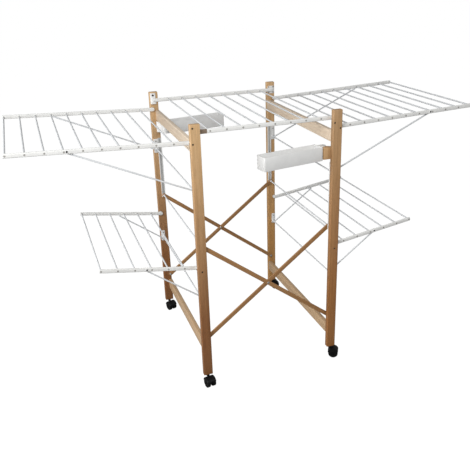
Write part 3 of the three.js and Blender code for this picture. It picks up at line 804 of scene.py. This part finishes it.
def tray_block(side):
    """The block that carries the tray, with its pin. The right one is wooden, the left one moulded."""
    node = f"tray_block_{side}"
    low, high = (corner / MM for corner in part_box(node))
    axis = pivot("tray_right_swing")
    clear = TRAY_LUG_THICKNESS + 0.4
    (inner, outer), back = TRAY_BLOCK_X, -POST_FACE
    outline = [(inner, back), (outer, back), (outer, TRAY_BLOCK_SHOULDER)]
    outline += arc(axis.x, axis.y, TRAY_LUG, 0, 180, 16)
    block = prism(outline, low.z + clear, high.z - clear, "XY", TRAY_BLOCK_EDGE)
    material = "post" if side == "right" else "plastic"
    piece(f"{node}_body", [block], material, f"{side}_frame", side, [node])
    pin = rod(PIN, low.z, high.z, "Z", (axis.x, axis.y), 20, 0.6)
    piece(f"{node}_pin", [pin], "steel", f"{side}_frame", side)


# ---------------------------------------------------------------- X-braces


def brace(letter, label, end):
    """A flat bar with half-round ends and softened edges."""
    direction = 1 if letter == "a" else -1
    span, rise = 2 * BRACE["half_span"], BRACE["high"] - BRACE["low"]
    length, angle = math.hypot(span, rise), math.atan2(rise, span)
    half = BRACE["width"] / 2
    outline = arc(0, 0, half, 90, 270, 14) + arc(length, 0, half, -90, 90, 14)
    y, thick = BRACE_Y[letter], BRACE["thickness"] / 2
    bar = for_end(end, prism(outline, y - thick, y + thick, edge=BRACE["edge"], segments=3))
    slope = -angle if direction > 0 else math.pi + angle
    start = Matrix.Translation((-direction * BRACE["half_span"], 0, BRACE["low"]))
    place = start @ Matrix.Rotation(slope, 4, "Y")
    node = f"brace_{letter}_{label}"
    piece(f"{node}_bar", [moved(bar, place)], f"brace_{letter}", f"braces_{letter}", replaced=[node])


def crossing_bolt(label, end):
    """The rivet where two braces cross: a shaft with a domed head at each end."""
    half = BRACE["thickness"] / 2 + FIT
    at = (0, (BRACE["low"] + BRACE["high"]) / 2)
    near, far = BRACE_Y["a"] - half, BRACE_Y["b"] + half
    solids = [domed_head(near, -1, BOLT["head"], BOLT["dome"], at=at), rod(BOLT["shaft"], near, far, at=at),
              domed_head(far, 1, BOLT["head"], BOLT["dome"], at=at)]
    node = f"brace_bolt_{label}"
    piece(f"{node}_rivet", [for_end(end, s) for s in solids], "steel", "braces_a", replaced=[node])


ROLLER = {"inside": 309.4, "outside": 314.4, "crown": 5.0, "waist": 4.0}
SLIDER = {"radius": 3, "reach": 311, "collar": 5, "collar_length": 3}


def slider_rod(side):
    """The rod through two braces' upper ends, its collars, and a white roller in each channel."""
    letter = "a" if side == "right" else "b"
    node = f"slider_rod_{side}"
    x = BRACE["half_span"] * (1 if side == "right" else -1)
    y, half = BRACE_Y[letter], BRACE["thickness"] / 2 + FIT
    at = (x, BRACE["high"])
    reach = y - half - SLIDER["collar_length"]
    shaft = [rod(SLIDER["radius"], -reach - 0.5, reach + 0.5, at=at),
             rod(BOLT["shaft"], -SLIDER["reach"], SLIDER["reach"], at=at)]
    start, tip = max(y + half, ROLLER["inside"]), ROLLER["outside"]
    crown, waist = ROLLER["crown"], ROLLER["waist"]
    profile = [(waist - 0.1, start), (waist + 0.6, start + 0.3), (waist, (start + tip) / 2),
               (crown, tip - 2.6), (crown, tip - 0.4), (crown - 0.4, tip)]
    collars, rollers = [], []
    for end in (-1, 1):
        collars.append(for_end(end, rod(SLIDER["collar"], reach, y - half, at=at, sides=20)))
        rollers.append(for_end(end, turned(profile, at=at)))
    body = f"braces_{letter}"
    piece(f"{node}_shaft", [*shaft, *collars], "rung", body, replaced=[node])
    piece(f"{node}_rollers", rollers, "plastic", body)


# ---------------------------------------------------------------- shelf fittings


SHELF_HINGE = {"plate": 2.6, "width": 30, "height": 34, "corner": 5, "ring": 7.5, "screws": (10.5, 12)}


def shelf_hinge(label, end):
    """A white plate on the post with a raised ring about the shelf's pin."""
    node = f"shelf_hinge_{label}"
    axis = pivot("shelf_lift")
    at, back, face = (axis.x, axis.z), POST_FACE, POST_FACE - SHELF_HINGE["plate"]
    outline = [(axis.x + u, axis.z + v) for u, v in rounded_rectangle(
        SHELF_HINGE["width"], SHELF_HINGE["height"], SHELF_HINGE["corner"], 0)]
    plate = prism(outline, face, back, edge=0.7)
    radius = SHELF_HINGE["ring"]
    ring = turned([(radius, back - 1), (radius, back - 3.3), (radius - 0.6, back - 3.85),
                   (4.4, back - 3.85)], at=at)
    thing = mesh_object(f"{node}_plate", [for_end(end, plate), for_end(end, ring)], "right")
    drilled(thing, [for_end(end, rod(PIN_HOLE, back - 8, back + CUT_OVER, at=at, sides=24))], "right")
    finish(thing, "plastic", "right_frame", [node])
    u, v = SHELF_HINGE["screws"]
    screws = [domed_head(face, -1, 2.6, 1.0, at=(axis.x + across * u, axis.z + up * v))
              for up in (1, -1) for across in (-1, 1)]
    piece(f"{node}_screws", [for_end(end, s) for s in screws], "dark", "right_frame")


SHELF_REST_PLATE, SHELF_REST_SCREW = 3.9, 9      # its thickness, and the screw's distance below its top


def shelf_rest(label, end):
    """An open white bracket: a plate on the post with a seat at its foot, and a dark screw."""
    node = f"shelf_rest_{label}"
    low, high = (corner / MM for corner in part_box(node))
    back, plate = POST_FACE, POST_FACE - SHELF_REST_PLATE
    seat_top = pivot("shelf_lift").z - RAIL_HEIGHT / 2 - FIT
    front = SHELF_RAIL_Y - RAIL_WIDTH / 2
    profile = [(back, low.z), (back, high.z), (plate, high.z), (plate, seat_top), (front, seat_top),
               (front, low.z)]
    bracket = rounded(loft([[(x, y, z) for y, z in profile] for x in (low.x, high.x)]), 1.0)
    piece(f"{node}_bracket", [for_end(end, bracket)], "plastic", "left_frame", replaced=[node])
    screw = domed_head(plate, -1, 4.2, 1.2, at=((low.x + high.x) / 2, high.z - SHELF_REST_SCREW))
    piece(f"{node}_screw", [for_end(end, screw)], "dark", "left_frame")


# ---------------------------------------------------------------- casters


FENDER_SECTION = [                       # (across, distance from the axle) of the hood over the wheels
    (-18.3, 21.1), (-18.3, 21.9), (-17.2, 22.7), (-14.5, 23), (0, 23), (14.5, 23), (17.2, 22.7), (18.3, 21.9),
    (18.3, 21.1), (16.8, 21.1), (14, 21.3), (0, 21.3), (-14, 21.3), (-16.8, 21.1)]
FENDER_ARC, FENDER_STEPS = (22, 171), 22
FENDER_SKIN, FENDER_PINCH = 21.5, 0.6    # at the hood's ends, what lies past the first is drawn in
TREAD_PROFILE = [                        # (radius, distance from the middle) of a wheel's tread
    (17.2, 5.3), (19.0, 5.3), (20, 6.6), (20, 11.0), (19.6, 11.4), (19.6, 12.0), (20, 12.4), (20, 16.2),
    (19.2, 17.7), (17.2, 18.0)]
DISC_PROFILE = [                         # the same of its dished disc and hub
    (3, 5.3), (17.4, 5.6), (17.4, 17.3), (16.2, 16.9), (9.0, 16.1), (7.8, 17.5), (6.5, 18.0), (0, 18.0)]


def caster_place(corner):
    """Where a caster stands and the way its axle trails, from its two joints."""
    stand = pivot(f"caster_swivel_{corner}_turn")
    axle = pivot(f"caster_axle_{corner}_spin")
    heading = math.atan2(axle.y - stand.y, axle.x - stand.x)
    return Matrix.Translation((stand.x, stand.y, 0)) @ Matrix.Rotation(heading, 4, "Z")


def fender_solid(trail, axle_z):
    """The hood over the wheels: a crowned strip bent round the axle, with turned-in lips."""
    start, stop = FENDER_ARC
    loops = []
    for i in range(FENDER_STEPS + 1):
        angle = math.radians(start + (stop - start) * i / FENDER_STEPS)
        pinch = FENDER_PINCH if i in (0, FENDER_STEPS) else 0.0
        section = [(y, r - pinch if r > FENDER_SKIN else r) for y, r in FENDER_SECTION]
        loops.append([(trail + r * math.cos(angle), y, axle_z + r * math.sin(angle)) for y, r in section])
    return loft(loops)


def caster(corner):
    """A hood with its stem on the swivel body, and a wheel pair with its axle on the axle body."""
    trail, wheel, hub, half, thick = (CASTER[key] for key in ("trail", "wheel", "hub", "web", "neck"))
    axle_at = (trail, wheel)
    place = caster_place(corner)
    boss = turned([(hub - 0.8, -half), (hub, 0.7 - half), (hub, half - 0.7), (hub - 0.8, half)],
                  at=axle_at, sides=32)
    web = slab((trail - 15, trail + 7), (-half, half), (wheel + 9, wheel + 21.8), 1.0)
    neck = turned([(thick, wheel + 20), (thick, 46.5), (thick - 0.7, 47.2), (thick - 0.7, 48.3),
                   (thick, 48.9), (thick - 0.5, 49.7)], "Z", sides=28)
    hood = [fender_solid(trail, wheel), boss, web, neck]
    node = f"caster_hood_{corner}"
    body = f"caster_swivel_{corner}"
    piece(f"{node}_shell", [moved(s, place) for s in hood], "black", body, replaced=[node])
    stem = moved(rod(CASTER["stem"], POST_Z[0] - 1, POST_Z[0] + 11, "Z"), place)
    piece(f"{node}_stem", [stem], "steel", body)
    tread = [for_end(end, turned(TREAD_PROFILE, at=axle_at, sides=40)) for end in (-1, 1)]
    discs = [for_end(end, turned(DISC_PROFILE, at=axle_at, sides=32)) for end in (-1, 1)]
    axle = rod(PIN, -6, 6, at=axle_at)
    node = f"caster_wheels_{corner}"
    body = f"caster_axle_{corner}"
    piece(f"{node}_tread", [moved(s, place) for s in tread], "tyre", body, replaced=[node])
    piece(f"{node}_discs", [moved(s, place) for s in [*discs, axle]], "black", body)


# ---------------------------------------------------------------- the rack

for side_name in SIDES:
    crosspieces(side_name)
    tray(side_name)
    tray_block(side_name)
    slider_rod(side_name)
    for which in ("upper", "lower"):
        wing(side_name, which)
        strut(side_name, which)
    for end_sign in (-1, 1):
        post(side_name, end_sign)
        slider_channel(side_name, end_sign)
        brace_pivot(side_name, end_sign)
        for which in ("upper", "lower"):
            strut_bracket(side_name, end_sign, which)
        caster(corner_name(side_name, end_sign))
for end_label, end_sign in (("front", -1), ("back", 1)):
    brace("a", end_label, end_sign)
    brace("b", end_label, end_sign)
    crossing_bolt(end_label, end_sign)
    shelf_hinge(end_label, end_sign)
    shelf_rest(end_label, end_sign)
shelf()

# ---------------------------------------------------------------- floor, light and camera


FLOOR_SEEN, FLOOR_THROWS = (0.9, 0.9, 0.9), (0.30, 0.30, 0.30)   # its tone to the camera and to the rack
FLOOR_GLOW, GLOW_SHARE = 1.1, 0.88
FLOOR_REACH = 60.0


def stage_material():
    """A pale floor that reads as white paper, takes a soft shadow and throws little light back up."""
    material, tree, shader = node_tree("studio_floor")
    path = tree.nodes.new("ShaderNodeLightPath")
    seen = path.outputs["Is Camera Ray"]
    tree.links.new(mix(tree, seen, FLOOR_THROWS, FLOOR_SEEN), shader.inputs["Base Color"])
    shader.inputs["Roughness"].default_value = 0.9
    shader.inputs["Specular IOR Level"].default_value = 0.1
    glow = add(tree, "ShaderNodeEmission", Color=(1, 1, 1, 1), Strength=FLOOR_GLOW)
    share = add(tree, "ShaderNodeMath", operation="MULTIPLY")
    tree.links.new(seen, share.inputs[0])
    share.inputs[1].default_value = GLOW_SHARE
    blend = tree.nodes.new("ShaderNodeMixShader")
    tree.links.new(share.outputs[0], blend.inputs[0])
    tree.links.new(shader.outputs[0], blend.inputs[1])
    tree.links.new(glow.outputs[0], blend.inputs[2])
    tree.links.new(blend.outputs[0], tree.nodes["Material Output"].inputs["Surface"])
    return material


def floor():
    """The studio floor."""
    mesh = bpy.data.meshes.new("studio_floor")
    reach = FLOOR_REACH
    corners = [(-reach, -reach, 0), (reach, -reach, 0), (reach, reach, 0), (-reach, reach, 0)]
    mesh.from_pydata(corners, [], [(0, 1, 2, 3)])
    mesh.materials.append(stage_material())
    thing = bpy.data.objects.new("studio_floor", mesh)
    bpy.context.scene.collection.objects.link(thing)


def area_light(name, place, target, size, watts):
    """A round soft light at a place, turned to a target."""
    data = bpy.data.lights.new(name, "AREA")
    data.shape = "DISK"
    data.size = size
    data.energy = watts
    thing = bpy.data.objects.new(name, data)
    thing.location = place
    thing.rotation_euler = (Vector(target) - Vector(place)).to_track_quat("-Z", "Y").to_euler()
    bpy.context.scene.collection.objects.link(thing)


def world(fill, seen=1.0):
    """Even light from all round; the camera sees it as white."""
    scene_world = bpy.data.worlds.new("studio")
    scene_world.use_nodes = True
    tree = scene_world.node_tree
    background = tree.nodes["Background"]
    background.inputs["Color"].default_value = (1, 1, 1, 1)
    path = tree.nodes.new("ShaderNodeLightPath")
    level = tree.nodes.new("ShaderNodeMapRange")
    level.inputs["To Min"].default_value = fill
    level.inputs["To Max"].default_value = seen
    tree.links.new(path.outputs["Is Camera Ray"], level.inputs["Value"])
    tree.links.new(level.outputs["Result"], background.inputs["Strength"])
    bpy.context.scene.world = scene_world


SENSOR = 36
CAMERA = {
    "place": (-0.7986, -2.3437, 1.5344), "yaw": 19.632, "pitch": 22.525, "roll": -1.359,
    "lens": 48.14, "shift": (-0.0307, -0.0173),
}


def camera():
    """The camera, from its place, its three angles, its lens and its shift."""
    yaw, pitch, roll = (math.radians(CAMERA[key]) for key in ("yaw", "pitch", "roll"))
    forward = Vector((math.sin(yaw) * math.cos(pitch), math.cos(yaw) * math.cos(pitch), -math.sin(pitch)))
    level = Vector((math.cos(yaw), -math.sin(yaw), 0))
    upright = level.cross(forward)
    right = level * math.cos(roll) + upright * math.sin(roll)
    up = right.cross(forward)
    data = bpy.data.cameras.new("camera")
    data.sensor_width = SENSOR
    data.lens = CAMERA["lens"]
    data.shift_x, data.shift_y = CAMERA["shift"]
    thing = bpy.data.objects.new("camera", data)
    rotation = Matrix((right, up, -forward)).transposed().to_4x4()
    thing.matrix_world = Matrix.Translation(CAMERA["place"]) @ rotation
    bpy.context.scene.collection.objects.link(thing)
    bpy.context.scene.camera = thing


FILL = 0.30
LIGHTS = {                               # place, target, size, watts
    "key": ((-1.2, -2.1, 2.1), (-0.1, -0.1, 0.85), 1.2, 50),
    "front": ((1.3, -2.2, 1.9), (0.3, 0, 0.7), 1.2, 9),
    "left": ((-3.4, 0.0, 1.3), (0.2, 0, 0.8), 1.6, 90),
}

floor()
world(FILL)
for light_name, light in LIGHTS.items():
    area_light(light_name, *light)
camera()
bpy.context.scene.view_settings.view_transform = "Standard"

bpy.context.view_layer.update()
